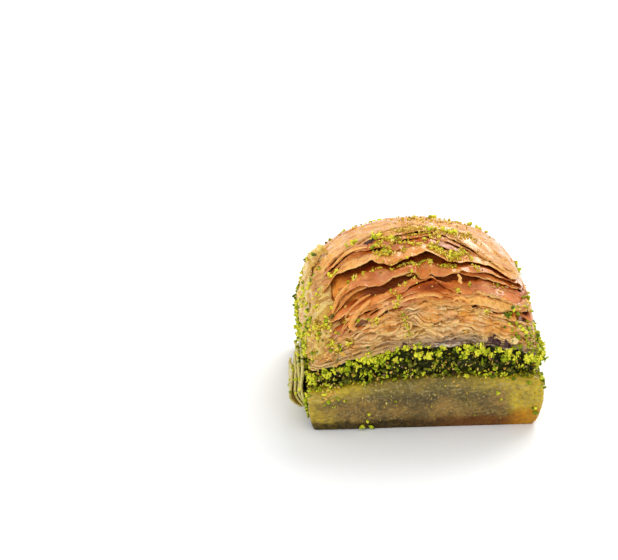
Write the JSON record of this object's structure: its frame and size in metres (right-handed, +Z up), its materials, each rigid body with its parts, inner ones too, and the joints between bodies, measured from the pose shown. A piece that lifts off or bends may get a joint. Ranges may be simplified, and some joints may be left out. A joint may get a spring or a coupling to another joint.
{
  "type": "baklava piece",
  "caption": "Square-cut piece of syrup-soaked leaf pastry with a band of chopped pistachio and a puffed, flaking dome, resting on a flat base.",
  "frame": {"origin": "middle of the piece's own box, on the surface that the underside rests on", "axes": "+X across the opened cut face to its right, +Y from that face towards the back, +Z up"},
  "size_m": [0.0478, 0.041, 0.0354],
  "materials": {
    "soaked_pastry": "dense syrup-soaked pastry, translucent olive tan, wet sheen",
    "chopped_pistachio": "chopped green nut, moist and rough",
    "baked_leaves": "thin golden-brown baked leaves with a syrup gloss"
  },
  "bodies": {
    "root": {"lower_pastry": "soaked_pastry", "pistachio_filling": "chopped_pistachio", "upper_pastry": "baked_leaves"}
  },
  "joints": []
}
